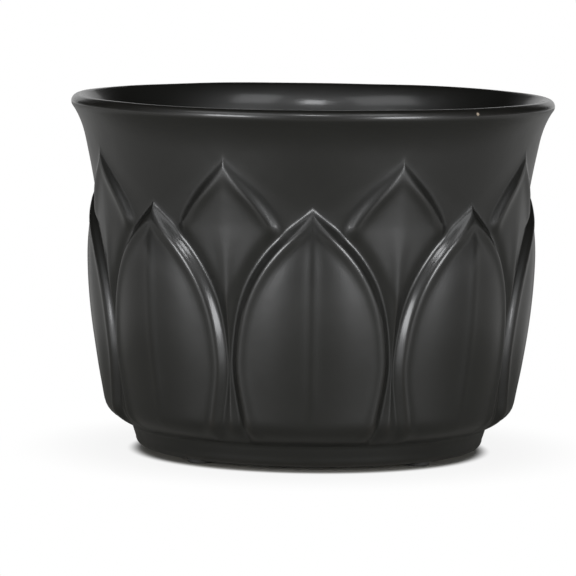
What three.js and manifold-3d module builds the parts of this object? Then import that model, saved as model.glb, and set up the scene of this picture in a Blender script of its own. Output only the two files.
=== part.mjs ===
// Ceramic flower pot: a slip-cast pot with a flared round lip, a relief of overlapping petals round its wall
// and a set-in foot. A rubber plug closes its drain from below, a mesh disc lies over the drain, and rubber
// pads are stuck under the foot. Millimetres, +Z up. The origin is on the table, on the pot's axis, and the
// front faces -Y.

import * as THREE from "three";
import { mergeVertices } from "three/addons/utils/BufferGeometryUtils.js";
import loadManifold from "manifold-3d";

const manifold = await loadManifold();
manifold.setup();

const { clamp, degToRad, lerp, smoothstep } = THREE.MathUtils;

// Pot: outside
const RIM_DIAMETER = 155;
const POT_HEIGHT = 112.6; // ceramic alone, from the foot to the crest of the lip
const LIP_THICKNESS = 4.6;
const LIP_LEAN = 30; // degrees that the lip leans out
const FLARE_HEIGHT = 38; // from the crest of the lip down to where the wall starts to flare
const NECK_DIAMETER = 137.2; // plain wall where the flare starts
const BODY_DIAMETER = 126; // plain wall above the rounded lower edge
const LOWER_EDGE_RISE = 8; // height of the rounded lower edge
const LEDGE_LEAN = 68; // degrees from upright at which the wall leaves the foot
const FOOT_DIAMETER = 114;
const FOOT_HEIGHT = 6.8;
const FOOT_DRAFT = 1.2; // how far the foot draws in towards its lower edge
const FOOT_EDGE_RADIUS = 2.8;
const LEDGE_PULL = 2.4; // the pulls set how far a curve runs on before it turns
const LOWER_EDGE_PULL = 3;
const NECK_PULL = 13;
const LIP_PULL = 5;

// Pot: inside and underside
const WALL = 5;
const FLOOR = 6;
const FLOOR_FILLET = 11;
const BARE_FLOOR_START = 2; // from the screen's edge out to the part of the floor that stays bare
const INSIDE_PULL = 16;
const FOOT_RING_WIDTH = 13.5;
const RECESS_DEPTH = 4.6; // of the underside, inside the foot ring
const RECESS_DRAFT = 1;
const DRAIN_DIAMETER = 16;

// Relief: a front row of petals, and the tips of a second row between them
const PETAL_COUNT = 8;
const FRONT_TIP_DROP = 29; // from the underside of the lip down the wall to the front row's tips
const BACK_TIP_DROP = 14;
const PETAL_FULLNESS = 0.96; // share of its pitch that a petal fills
const PETAL_UPRIGHT = 4.4; // higher keeps the sides upright for longer
const PETAL_POINT = 1.12; // over 1 draws the tip out to a point
const PETAL_ROOT_WIDTH = 0.84; // share of the full width at the foot
const FRONT_STEP = 1.1; // height of the outline above the plain wall
const FRONT_CROWN = 3.5; // extra height along the middle
const BACK_STEP = 0.7; // the back row stands less proud, so the front row overlaps it
const BACK_CROWN = 0.9;
const CROWN_AT_ROOT = 0.45; // share of the crown's height at the foot
const CROWN_SIDES = 2.4; // higher keeps a petal's face flat for longer towards its sides
const CROWN_SHOULDER = 3; // and towards its tip
const STEP_WIDTH = 2;
const TIP_ROUNDING = 1.2; // length over which a tip drops, each way from its point
const BEAD_HEIGHT = 0.9; // raised line that follows the outline
const BEAD_WIDTH = 2.1;
const BEAD_INSET = 2;
const RIB_HEIGHT = 0.4; // raised line up the middle
const RIB_WIDTH = 2;
const ROOT_FADE = 10; // length over which the relief grows out of the foot
// Where features come and go, in shares of a petal's length
const WIDENING = [0, 0.4];
const CROWN_PEAK = 0.55;
const BEAD_END = [0.86, 1];
const RIB_START = [0.05, 0.3];
const RIB_END = [0.75, 0.95];

// Drain plug
const PLUG_CLEARANCE = 0.3; // to the drain, all round
const PLUG_SEAT_GAP = 0.3;
const PLUG_TOP_DEPTH = 0.8; // from the pot's floor down to the top of the plug
const PLUG_RIB_COUNT = 2;
const PLUG_RIB_HEIGHT = 0.7;
const PLUG_CUP_WALL = 2.2;
const PLUG_CUP_DEPTH = 3.2;
const PLUG_FLANGE_OVERLAP = 4.2; // beyond the drain, all round
const PLUG_FLANGE_THICKNESS = 1.6;
const PLUG_GRIP_DIAMETER = 9;
const PLUG_GRIP_HEIGHT = 1.6;
const PLUG_ROUNDING = 0.5;

// Drain screen
const SCREEN_OVERLAP = 14; // beyond the drain, all round
const SCREEN_THICKNESS = 1.4;
const SCREEN_PITCH = 4;
const SCREEN_BAR = 1.4;
const SCREEN_BORDER = 2;
const SCREEN_SEAT_GAP = 0.3;

// Foot pads
const PAD_COUNT = 4;
const PAD_THICKNESS = 1.4;
const PAD_MARGIN = 0.8; // to each edge of the foot ring's flat
const PAD_ROUNDING = 0.5;
const GLUE_LINE = 0.1;

// Facets: columns in half a petal's pitch, rows in each stretch of the wall, and rows and sides of the rest
const HALF_PITCH_COLUMNS = 8;
const TIP_COLUMNS_SHARE = 0.05; // of half a pitch, into which the columns crowd at a tip
const LEAST_SHARE = 0.2; // of the room that is left, for a column that can't follow its line
const BEAD_FOOT = 1.7; // widths of the bead from its crest to where it ends
const TIP_ROWS_START = 0.7; // share of the front petals' length
const ROOT_ROWS = 4;
const MIDDLE_ROWS = 8;
const TIP_ROWS = 7;
const BETWEEN_TIPS_ROWS = 4;
const FLARE_ROWS = 4;
const LIP_ROWS = 7;
const INSIDE_ROWS = 7;
const FILLET_ROWS = 4;
const ROUNDING_ROWS = 3;
const PLUG_RIB_ROWS = 6;
const PLUG_SIDES = 24;
const PAD_SIDES = 20;
const SCREEN_SIDES = 40;

const BLACK_GLAZE = { color: 0x232321, roughness: 0.38, metalness: 0 };
const BLACK_RUBBER = { color: 0x1c1c1c, roughness: 0.75, metalness: 0 };
const GREY_PLASTIC = { color: 0x3b3d3b, roughness: 0.6, metalness: 0 };

// Sizes that follow from those above
const pitch = (2 * Math.PI) / PETAL_COUNT;
const fineColumns = 2 * HALF_PITCH_COLUMNS * PETAL_COUNT;
const plainColumns = fineColumns / 2;
const drainRadius = DRAIN_DIAMETER / 2;
const floorTop = RECESS_DEPTH + FLOOR;
const neckHeight = POT_HEIGHT - FLARE_HEIGHT;
const bodyHeight = FOOT_HEIGHT + LOWER_EDGE_RISE;
const neckRadius = NECK_DIAMETER / 2;
const bodyRadius = BODY_DIAMETER / 2;
const footRadius = FOOT_DIAMETER / 2;
const ringOuter = footRadius - FOOT_DRAFT - FOOT_EDGE_RADIUS;
const ringInner = footRadius - FOOT_RING_WIDTH;
const lipRadius = LIP_THICKNESS / 2;
const lipLean = degToRad(LIP_LEAN);
const lipCentre = new THREE.Vector2(RIM_DIAMETER / 2 - lipRadius, POT_HEIGHT - lipRadius);
const wallLean = Math.atan2(neckRadius - bodyRadius, neckHeight - bodyHeight);

const spot = (radius, height) => new THREE.Vector2(radius, height);

// A point on the round of the lip, at an angle from straight out.
function lipPoint(angle) {
  return spot(Math.cos(angle), Math.sin(angle)).multiplyScalar(lipRadius).add(lipCentre);
}

// A curve to a point. It leaves and arrives along lines that lean out from upright by the angles given.
function bend(path, leaveLean, leavePull, to, arriveLean, arrivePull) {
  const from = path.currentPoint;
  path.bezierCurveTo(
    from.x + leavePull * Math.sin(leaveLean), from.y + leavePull * Math.cos(leaveLean),
    to.x - arrivePull * Math.sin(arriveLean), to.y - arrivePull * Math.cos(arriveLean),
    to.x, to.y,
  );
}

// Outer wall, from the top of the foot round the lower edge and up the flare to the lip.
function outerWall() {
  const path = new THREE.Path().moveTo(footRadius, FOOT_HEIGHT);
  bend(path, degToRad(LEDGE_LEAN), LEDGE_PULL, spot(bodyRadius, bodyHeight), wallLean, LOWER_EDGE_PULL);
  path.lineTo(neckRadius, neckHeight);
  bend(path, wallLean, NECK_PULL, lipPoint(-lipLean), lipLean, LIP_PULL);
  return path;
}

// Inside of the pot, from the drain's upper edge over the fillet and up the wall to the lip.
function insideProfile() {
  const lowRadius = bodyRadius - WALL;
  const lowHeight = floorTop + FLOOR_FILLET;
  const path = new THREE.Path().moveTo(lowRadius, lowHeight);
  bend(path, 0, INSIDE_PULL, spot(neckRadius - WALL, neckHeight), wallLean, INSIDE_PULL);
  bend(path, wallLean, NECK_PULL, lipPoint(Math.PI - lipLean), lipLean, LIP_PULL);
  const fillet = new THREE.Path();
  fillet.absarc(lowRadius - FLOOR_FILLET, lowHeight, FLOOR_FILLET, -Math.PI / 2, 0, false);
  return [
    spot(drainRadius, floorTop),
    spot(drainRadius + SCREEN_OVERLAP + BARE_FLOOR_START, floorTop),
    ...fillet.getSpacedPoints(FILLET_ROWS).slice(0, -1),
    ...path.getSpacedPoints(INSIDE_ROWS).slice(0, -1),
  ];
}

// The rounded lower edge of a disc, from underneath to its side.
function lowerRounding(radius, height, size) {
  const path = new THREE.Path().absarc(radius - size, height + size, size, -Math.PI / 2, 0, false);
  return path.getSpacedPoints(ROUNDING_ROWS);
}

// Underside, from the drain's lower edge over the recess and the foot ring to the foot's rounded edge.
function undersideProfile() {
  return [
    spot(drainRadius, RECESS_DEPTH),
    spot(ringInner - RECESS_DRAFT, RECESS_DEPTH),
    spot(ringInner, 0),
    ...lowerRounding(ringOuter + FOOT_EDGE_RADIUS, 0, FOOT_EDGE_RADIUS),
  ];
}

const wall = outerWall();
const wallLength = wall.getLength();
const frontRow = { length: wallLength - FRONT_TIP_DROP, step: FRONT_STEP, crown: FRONT_CROWN };
const backRow = { length: wallLength - BACK_TIP_DROP, step: BACK_STEP, crown: BACK_CROWN };

// Half the angle that a petal spans at a length up the wall. It is negative beyond the tip.
function petalHalfAngle(rise, { length }) {
  const share = Math.max(rise / length, 0);
  const left = 1 - share ** PETAL_UPRIGHT;
  const outline = Math.sign(left) * Math.abs(left) ** PETAL_POINT;
  const root = lerp(PETAL_ROOT_WIDTH, 1, smoothstep(share, ...WIDENING));
  return (pitch / 2) * PETAL_FULLNESS * outline * root;
}

// How much longer the outline is than its height, where it leans over towards the tip.
function outlineSlant(rise, row, radius) {
  const reach = STEP_WIDTH / 2;
  const change = petalHalfAngle(rise + reach, row) - petalHalfAngle(rise - reach, row);
  return Math.hypot(1, (change * radius) / (2 * reach));
}

const ridge = (distance, width) => Math.exp(-((distance / width) ** 2));

// One petal at an angle from its middle: how far it covers what lies behind, and its height above the wall.
function petal(offset, rise, row, radius) {
  const half = petalHalfAngle(rise, row);
  const inset = ((half - Math.abs(offset)) * radius) / outlineSlant(rise, row, radius);
  const across = half > 0 ? Math.min(1, Math.abs(offset) / half) : 1;
  const share = rise / row.length;
  const shoulder = 1 - clamp((share - CROWN_PEAK) / (1 - CROWN_PEAK), 0, 1) ** CROWN_SHOULDER;
  const swell = lerp(CROWN_AT_ROOT, 1, smoothstep(share, 0, CROWN_PEAK)) * shoulder;
  const beadFade = 1 - smoothstep(share, ...BEAD_END);
  const ribFade = smoothstep(share, ...RIB_START) * (1 - smoothstep(share, ...RIB_END));
  return {
    cover: smoothstep(inset, -STEP_WIDTH / 2, STEP_WIDTH / 2),
    height:
      row.step +
      row.crown * swell * (1 - across ** CROWN_SIDES) +
      BEAD_HEIGHT * beadFade * ridge(inset - BEAD_INSET, BEAD_WIDTH) +
      RIB_HEIGHT * ribFade * ridge(offset * radius, RIB_WIDTH),
  };
}

// Height of the relief above the plain wall, at an angle from the nearest front petal's middle.
function reliefHeight(offset, rise, radius) {
  const front = petal(offset, rise, frontRow, radius);
  const back = petal(pitch / 2 - Math.abs(offset), rise, backRow, radius);
  return lerp(back.cover * back.height, front.height, front.cover) * smoothstep(rise, 0, ROOT_FADE);
}

// Angles of the facet columns in half a pitch. They follow the rib, the bead and the outline of the front
// petal, then the outline and the bead of the back petal, so that every step is crisp. They are even at the
// foot and at the lip.
function columnAngles(rise, radius) {
  const last = pitch / 2;
  const least = TIP_COLUMNS_SHARE * last;
  const turn = (row, length) => (length * outlineSlant(rise, row, radius)) / radius;
  const spread = (last / 2) * smoothstep(rise, frontRow.length, backRow.length);
  const front = Math.max(petalHalfAngle(rise, frontRow), least, spread);
  const frontTop = Math.max(front - turn(frontRow, BEAD_INSET), lerp(front, 0, LEAST_SHARE));
  const beadFoot = Math.max(frontTop - turn(frontRow, BEAD_FOOT * BEAD_WIDTH), frontTop / 2);
  const frontFoot = Math.min(front + turn(frontRow, STEP_WIDTH / 2), lerp(front, last, LEAST_SHARE));
  const back = last - Math.max(petalHalfAngle(rise, backRow), least);
  const backFoot = Math.max(back - turn(backRow, STEP_WIDTH / 2), lerp(frontFoot, last, LEAST_SHARE));
  const backTop = Math.max(
    Math.min(back + turn(backRow, BEAD_INSET), lerp(back, last, LEAST_SHARE)),
    lerp(backFoot, last, LEAST_SHARE),
  );
  const ribSide = Math.min((2 * RIB_WIDTH) / radius, beadFoot / 3);
  const followed = [
    0, ribSide, (ribSide + beadFoot) / 2, beadFoot, frontTop, frontFoot, backFoot, backTop, last,
  ];
  const hold = smoothstep(rise, 0, ROOT_FADE) * (1 - smoothstep(rise, backRow.length, wallLength));
  return followed.map((angle, place) => lerp((last * place) / HALF_PITCH_COLUMNS, angle, hold));
}

const around = (radius, angle, height) =>
  new THREE.Vector3(radius * Math.cos(angle), radius * Math.sin(angle), height);

// One ring of the outer wall at a length up the wall, raised by the relief square to the wall.
function wallRing(rise) {
  const share = rise / wallLength;
  const { x: radius, y: height } = wall.getPointAt(share);
  const along = wall.getTangentAt(share);
  const angles = columnAngles(rise, radius);
  return Array.from({ length: fineColumns }, (_, column) => {
    const nearest = Math.round(column / (2 * HALF_PITCH_COLUMNS));
    const place = column - nearest * 2 * HALF_PITCH_COLUMNS;
    const offset = Math.sign(place) * angles[Math.abs(place)];
    const relief = reliefHeight(offset, rise, radius);
    const angle = nearest * pitch + offset - Math.PI / 2;
    return around(radius + along.y * relief, angle, height - along.x * relief);
  });
}

// A plain ring of the lip, inside or underside.
function plainRing({ x: radius, y: height }) {
  return Array.from({ length: plainColumns }, (_, column) =>
    around(radius, (2 * Math.PI * column) / plainColumns - Math.PI / 2, height),
  );
}

// Triangles between two neighbouring rings, of which one may have half as many points as the other. Where they
// have the same number, each cell is split along its shorter diagonal.
function bandTriangles(low, high, lowStart, highStart) {
  const steps = Math.min(low.length, high.length);
  const lowAt = (i) => lowStart + (i % low.length);
  const highAt = (i) => highStart + (i % high.length);
  return Array.from({ length: steps }, (_, i) => {
    if (low.length > steps)
      return [
        lowAt(2 * i), lowAt(2 * i + 1), highAt(i),
        lowAt(2 * i + 1), highAt(i + 1), highAt(i),
        lowAt(2 * i + 1), lowAt(2 * i + 2), highAt(i + 1),
      ];
    if (high.length > steps)
      return [
        lowAt(i), highAt(2 * i + 1), highAt(2 * i),
        lowAt(i), lowAt(i + 1), highAt(2 * i + 1),
        lowAt(i + 1), highAt(2 * i + 2), highAt(2 * i + 1),
      ];
    const next = (i + 1) % steps;
    if (low[next].distanceTo(high[i]) < low[i].distanceTo(high[next]))
      return [lowAt(i), lowAt(next), highAt(i), lowAt(next), highAt(next), highAt(i)];
    return [lowAt(i), lowAt(next), highAt(next), lowAt(i), highAt(next), highAt(i)];
  }).flat();
}

// One closed skin through a loop of rings.
function skin(rings) {
  const starts = rings.map((_, i) => rings.slice(0, i).reduce((sum, ring) => sum + ring.length, 0));
  const index = rings.flatMap((ring, i) => {
    const next = (i + 1) % rings.length;
    return bandTriangles(ring, rings[next], starts[i], starts[next]);
  });
  return new THREE.BufferGeometry().setFromPoints(rings.flat()).setIndex(index);
}

// Lengths up the wall at which its rings lie, closest together at the petals' tips.
function wallRises() {
  const tipStart = TIP_ROWS_START * frontRow.length;
  const [frontTop, frontEnd] = [frontRow.length - TIP_ROUNDING, frontRow.length + TIP_ROUNDING];
  const [backTop, backEnd] = [backRow.length - TIP_ROUNDING, backRow.length + TIP_ROUNDING];
  const stretches = [
    [0, ROOT_FADE, ROOT_ROWS],
    [ROOT_FADE, tipStart, MIDDLE_ROWS],
    [tipStart, frontTop, TIP_ROWS],
    [frontTop, frontEnd, 1],
    [frontEnd, backTop, BETWEEN_TIPS_ROWS],
    [backTop, backEnd, 1],
    [backEnd, wallLength, FLARE_ROWS],
  ];
  const rises = stretches.flatMap(([from, to, rows]) =>
    Array.from({ length: rows }, (_, i) => lerp(from, to, i / rows)),
  );
  return [...rises, wallLength];
}

function potGeometry() {
  const lip = Array.from({ length: LIP_ROWS }, (_, i) => lipPoint((Math.PI * (i + 1)) / LIP_ROWS - lipLean));
  return skin([
    ...wallRises().map(wallRing),
    ...lip.map(plainRing),
    ...insideProfile().reverse().map(plainRing),
    ...undersideProfile().map(plainRing),
  ]);
}

// A solid of revolution about Z from (radius, height) points that run upwards on the outside.
function revolve(points, sides) {
  return new THREE.LatheGeometry(points, sides).rotateX(Math.PI / 2);
}

// Drain plug: a grip under a flange, and a ribbed stem that is cupped at the top.
function plugGeometry() {
  const stemRadius = drainRadius - PLUG_CLEARANCE - PLUG_RIB_HEIGHT;
  const flangeRadius = drainRadius + PLUG_FLANGE_OVERLAP;
  const flangeTop = RECESS_DEPTH - PLUG_SEAT_GAP;
  const flangeLow = flangeTop - PLUG_FLANGE_THICKNESS;
  const gripLow = flangeLow - PLUG_GRIP_HEIGHT;
  const stemTop = floorTop - PLUG_TOP_DEPTH;
  const stemRows = PLUG_RIB_COUNT * PLUG_RIB_ROWS;
  const stem = Array.from({ length: stemRows + 1 }, (_, i) => {
    const share = i / stemRows;
    const swell = Math.sin(Math.PI * PLUG_RIB_COUNT * share) ** 2;
    return spot(stemRadius + PLUG_RIB_HEIGHT * swell, lerp(flangeTop, stemTop, share));
  });
  return revolve(
    [
      spot(0, gripLow),
      ...lowerRounding(PLUG_GRIP_DIAMETER / 2, gripLow, PLUG_ROUNDING),
      spot(PLUG_GRIP_DIAMETER / 2, flangeLow),
      ...lowerRounding(flangeRadius, flangeLow, PLUG_ROUNDING),
      spot(flangeRadius, flangeTop),
      ...stem,
      spot(stemRadius - PLUG_CUP_WALL, stemTop),
      spot(stemRadius - PLUG_CUP_WALL, stemTop - PLUG_CUP_DEPTH),
      spot(0, stemTop - PLUG_CUP_DEPTH),
    ],
    PLUG_SIDES,
  );
}

// A closed geometry as a solid that can be cut.
function solid(geometry) {
  geometry.deleteAttribute("normal");
  geometry.deleteAttribute("uv");
  const { attributes, index } = mergeVertices(geometry);
  const vertProperties = new Float32Array(attributes.position.array);
  const triVerts = new Uint32Array(index.array);
  return new manifold.Manifold(new manifold.Mesh({ numProp: 3, vertProperties, triVerts }));
}

// Drain screen: a flat disc with square openings cut inside a plain border.
function screenGeometry() {
  const radius = drainRadius + SCREEN_OVERLAP;
  const opening = SCREEN_PITCH - SCREEN_BAR;
  const reach = Math.floor(radius / SCREEN_PITCH);
  let screen = solid(
    new THREE.CylinderGeometry(radius, radius, SCREEN_THICKNESS, SCREEN_SIDES)
      .rotateX(Math.PI / 2)
      .translate(0, 0, SCREEN_THICKNESS / 2),
  );
  for (let column = -reach; column <= reach; column++)
    for (let row = -reach; row <= reach; row++) {
      const x = column * SCREEN_PITCH;
      const y = row * SCREEN_PITCH;
      const corner = Math.hypot(Math.abs(x) + opening / 2, Math.abs(y) + opening / 2);
      if (corner > radius - SCREEN_BORDER) continue;
      screen = screen.subtract(
        solid(new THREE.BoxGeometry(opening, opening, 3 * SCREEN_THICKNESS).translate(x, y, 0)),
      );
    }
  const { vertProperties, triVerts } = screen.getMesh();
  return new THREE.BufferGeometry()
    .setAttribute("position", new THREE.BufferAttribute(vertProperties, 3))
    .setIndex(new THREE.BufferAttribute(triVerts, 1));
}

// Foot pad: a rubber disc with a rounded lower edge.
function padGeometry() {
  const radius = (ringOuter - ringInner) / 2 - PAD_MARGIN;
  return revolve(
    [
      spot(0, 0),
      ...lowerRounding(radius, 0, PAD_ROUNDING),
      spot(radius, PAD_THICKNESS),
      spot(0, PAD_THICKNESS),
    ],
    PAD_SIDES,
  );
}

function piece(name, geometry, finish) {
  const mesh = new THREE.Mesh(geometry, new THREE.MeshStandardMaterial(finish));
  mesh.name = name;
  return mesh;
}

const body = piece("pot_body", potGeometry(), BLACK_GLAZE);
const plug = piece("drain_plug", plugGeometry(), BLACK_RUBBER);
const screen = piece("drain_screen", screenGeometry(), GREY_PLASTIC);
screen.position.z = floorTop + SCREEN_SEAT_GAP;

// The pot and what it holds stand on the pads.
const pot = new THREE.Group().add(body, plug, screen);
pot.position.z = PAD_THICKNESS + GLUE_LINE;

const pads = Array.from({ length: PAD_COUNT }, (_, i) => {
  const pad = piece(`foot_pad_${i + 1}`, padGeometry(), BLACK_RUBBER);
  const angle = (2 * Math.PI * (i + 0.5)) / PAD_COUNT - Math.PI / 2;
  pad.position.copy(around((ringInner + ringOuter) / 2, angle, 0));
  return pad;
});

export default new THREE.Group().add(pot, ...pads);
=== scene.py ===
"""Looks of a ceramic flower pot: satin black glaze over raised petals, a drain plug, a screen and foot pads.

Sizes of the pieces are in millimetres and are turned to metres where a mesh is made. The stage is in metres.
The pot stands on its pads at z 0.
"""

import math

import bpy
import numpy as np
from mathutils import Euler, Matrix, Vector


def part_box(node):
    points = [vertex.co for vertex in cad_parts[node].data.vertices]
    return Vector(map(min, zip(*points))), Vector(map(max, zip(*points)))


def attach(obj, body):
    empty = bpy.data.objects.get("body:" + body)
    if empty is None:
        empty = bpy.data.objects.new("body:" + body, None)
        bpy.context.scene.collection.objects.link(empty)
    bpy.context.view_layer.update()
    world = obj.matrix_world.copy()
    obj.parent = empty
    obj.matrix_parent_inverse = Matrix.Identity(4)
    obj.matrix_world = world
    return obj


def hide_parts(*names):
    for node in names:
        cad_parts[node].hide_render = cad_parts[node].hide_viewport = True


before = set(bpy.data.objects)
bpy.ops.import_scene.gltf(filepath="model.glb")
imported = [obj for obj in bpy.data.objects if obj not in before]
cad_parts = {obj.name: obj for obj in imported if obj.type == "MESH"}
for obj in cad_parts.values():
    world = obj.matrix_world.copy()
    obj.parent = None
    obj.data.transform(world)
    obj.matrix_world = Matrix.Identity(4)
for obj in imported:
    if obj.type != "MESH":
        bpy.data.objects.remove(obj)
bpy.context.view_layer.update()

MM = 0.001


def box_mm(node):
    """The lowest and the highest corner of a CAD node's box."""
    low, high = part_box(node)
    return low / MM, high / MM


# Pot: outside. A pull is how far a curve keeps to the lean that it leaves or arrives with.
pot_low, pot_high = box_mm("pot_body")
FOOT_Z = pot_low.z
RIM_Z = pot_high.z
RIM_RADIUS = pot_high.x
LIP_RADIUS = 2.3
LIP_LEAN = math.radians(36)
LIP_PULL = 3
FLARE_HEIGHT = 38
FLARE_PULL = 8
NECK_Z = RIM_Z - FLARE_HEIGHT
NECK_RADIUS = 68.6
CURL_RADIUS = 72.9
CURL_DROP = 13.6
CURL = (CURL_RADIUS, RIM_Z - CURL_DROP)
CURL_LEAN = math.radians(12)
CURL_PULL = 4
FOOT_RADIUS = 57
FOOT_HEIGHT = 6.8
FOOT_DRAFT = 1.2
FOOT_EDGE_RADIUS = 2.8
FOOT_CREASE = 0.9
FOOT_CREASE_SLOPE = 0.2
LEDGE_HEIGHT = 8
LEDGE_LEAN = math.radians(68)
LEDGE_PULL = 2.4
BODY_Z = FOOT_Z + FOOT_HEIGHT + LEDGE_HEIGHT
BODY_RADIUS = 63
BODY_PULL = 3
WALL_LEAN = math.atan2(NECK_RADIUS - BODY_RADIUS, NECK_Z - BODY_Z)

# A pinhole in the glaze on the lip, and the distances from its middle over which the glaze thins out
SPECK = Vector((50.4, -58.7, 112.5))
SPECK_EDGE = (0.75, 0.2)

# Pot: inside and underside
WALL = 5
FLOOR_THICKNESS = 6
FLOOR_FILLET = 11
RECESS_DEPTH = 4.6
RECESS_DRAFT = 1
RECESS_ROUND = 1.2
RECESS_Z = FOOT_Z + RECESS_DEPTH
FLOOR_Z = RECESS_Z + FLOOR_THICKNESS
RING_OUTER = FOOT_RADIUS - FOOT_DRAFT - FOOT_EDGE_RADIUS
RING_INSET = 13.5
RING_INNER = FOOT_RADIUS - RING_INSET
INSIDE_PULL = 16
INSIDE_NECK_PULL = 11
KNEE_RADIUS = 69.56
KNEE_DROP = 8.3
KNEE = (KNEE_RADIUS, RIM_Z - KNEE_DROP)
KNEE_LEAN = math.radians(13)
KNEE_PULL = 9
LIP_INNER_LEAN = math.radians(42)
LIP_INNER_PULL = 2.9
DRAIN_RADIUS = 8
DRAIN_ROUND = 1

# Rows this far from a round edge keep the flat beside it flat
EDGE_HOLD = 1

# Rises above the foot ring, and insets from its outer edge, over which the glaze is wiped off
WIPE_RISE = (0.3, 0.1)
WIPE_INSET = (0.2, 1)

# Relief. Spans that start or end something are shares of a petal's length.
PETAL_COUNT = 8
PITCH = 2 * math.pi / PETAL_COUNT
PETAL_FULLNESS = 0.96
PETAL_UPRIGHT = 4.4
PETAL_POINT = 1.12
PETAL_ROOT_WIDTH = 0.84
PETAL_ROOT_END = 0.4
FRONT_TIP_DROP = 29
BACK_TIP_DROP = 14
FRONT_STEP = 1.1
FRONT_CROWN = 3.5
BACK_STEP = 0.7
BACK_CROWN = 0.9
CROWN_AT_ROOT = 0.45
CROWN_PEAK = 0.55
CROWN_SIDES = 2.4
CROWN_SHOULDER = 2.2
STEP_WIDTH = 2.6
BEAD_HEIGHT = 1.2
BEAD_WIDTH = 1.8
BEAD_INSET = 2.1
BEAD_END = (0.86, 1)
RIB_HEIGHT = 0.6
RIB_WIDTH = 1.7
RIB_START = (0.05, 0.3)
RIB_END = (0.75, 0.95)
TUCK_WIDTH = 5
TUCK_LEFT = 0.15
ROOT_FADE = 10
SLANT_STEP = 0.8
LEAST_ANGLE = 1e-6

# Casting wave, which fades in over these rises above the floor, and the glaze's flow over the relief
CASTING_WAVE = 0.5
WAVE_SIZE = 45
WAVE_RISE = (5, 25)
FLOW_FADE = 6
FLOW_STRENGTH = 0.5
FLOW_PASSES = 6

# Mesh columns in half a petal's pitch, from its middle: rib, face, bead, edge, gap, then the row behind
COLUMN_SHARES = [4, 7, 4, 5, 2, 4, 3, 3]
HALF_COLUMNS = sum(COLUMN_SHARES)
POT_COLUMNS = 2 * HALF_COLUMNS * PETAL_COUNT

# Where the columns' lines lie: a bead's foot and a rib's side in widths, and shares of the room that is left
BEAD_FOOT = 1.7
RIB_SIDE = 2
LEAST_HALF = 0.02
LEAST_CREST = 0.7
STEP_ROOM = 0.2
GAP_ROOM = 0.1
BACK_ROOM = 0.3
BACK_FOOT_ROOM = 0.5

# Mesh rows
FOOT_EDGE_ROWS = 6
FOOT_SIDE_ROWS = 3
LEDGE_ROWS = 10
WALL_ROWS = 54
FLARE_ROWS = 30
CURL_ROWS = 9
LIP_ROWS = 14
KNEE_ROWS = 9
INSIDE_ROWS = 8
FILLET_ROWS = 8
FLOOR_ROWS = 3
RECESS_ROWS = 2
ROUND_ROWS = 4

# Plug. The dimple is given as radii and rises.
GRIP_RADIUS = 4.5
GRIP_ROUND = 0.5
FLANGE_GAP = 0.3
FLANGE_THICKNESS = 1.6
FLANGE_LOW_ROUND = 0.6
FLANGE_TOP_ROUND = 0.4
STEM_RADIUS = 7
STEM_RIB = 0.7
STEM_ROWS = 32
CUP_RADIUS = 4.8
CUP_DEPTH = 3.2
CUP_ROUND = 0.5
CUP_FILLET = 0.9
DIMPLE = [(0, 0.35), (1.6, 0.3), (2.4, 0.12), (3, 0)]
PLUG_COLUMNS = 96

# Screen
SCREEN_PITCH = 4
SCREEN_BAR = 1.4
SCREEN_BORDER = 2
SCREEN_SIDES = 120
SCREEN_ROUND = 0.3
SCREEN_ROUND_ROWS = 3
SCREEN_ROUND_FROM = math.radians(40)
SCREEN_SMOOTH_TO = math.radians(35)

# Pads. The ring in the sole is given as insets from the edge and rises.
PAD_COUNT = 4
SOLE_RING = [(1.9, 0), (1.7, 0.12), (1.4, 0.12), (1.2, 0)]
PAD_LOW_ROUND = 0.6
PAD_LOW_ROWS = 6
PAD_TOP_ROUND = 0.15
PAD_TOP_ROWS = 3
PAD_COLUMNS = 48

# Finishes: pairs are the two ends of a variation over the surface, and depths are of the bump
GLAZE_DEEP = (0.0046, 0.0046, 0.0036, 1)
GLAZE_CLOUDY = (0.0066, 0.0066, 0.0054, 1)
GLAZE_THIN = (0.014, 0.0118, 0.0094, 1)
GLAZE_ROUGHNESS = (0.4, 0.47)
GLAZE_COAT = 0.45
GLAZE_COAT_ROUGHNESS = 0.17
GLAZE_DEPTH = 0.05
CLAY_DARK = (0.34, 0.27, 0.2, 1)
CLAY_PALE = (0.5, 0.42, 0.33, 1)
CLAY_ROUGHNESS = 0.9
RUBBER_BLACK = (0.016, 0.016, 0.016, 1)
RUBBER_DUSTY = (0.045, 0.044, 0.042, 1)
RUBBER_ROUGHNESS = (0.68, 0.86)
RUBBER_DEPTH = 0.04
PLASTIC_DARK = (0.038, 0.04, 0.038, 1)
PLASTIC_CLOUDY = (0.052, 0.054, 0.052, 1)
PLASTIC_RUBBED = (0.085, 0.087, 0.085, 1)
PLASTIC_ROUGHNESS = (0.5, 0.62)
PLASTIC_DEPTH = 0.03
WHITE = (1, 1, 1, 1)

# Camera and lamps, in metres
CAMERA_PLACE = Vector((-0.0073, -1.4457, 0.1995))
CAMERA_PITCH = math.radians(5.824)
CAMERA_ROLL = math.radians(0.728)
CAMERA_LENS = 282.36
CAMERA_SENSOR = 36
CAMERA_REACH = 20
LAMP_COLOUR = (0.97, 0.98, 1)
LAMP_TARGET = Vector((0, 0, 0.06))
WORLD_LIGHT = 0.01

# Floor, in metres
TABLE_SIZE = 6
TABLE_BACK = 2.6
SWEEP_HEIGHT = 2
TABLE_COLOUR = (0.35, 0.345, 0.315, 1)
TABLE_ROUGHNESS = 0.9

# How white the floor is to the camera: distances from the pot's axis over which its shadows fade
CONTACT_SHADOW = (0.0535, 0.059)
SOFT_SHADOW = (0.058, 0.1)
SOFT_SHADOW_WHITE = 0.9

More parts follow.
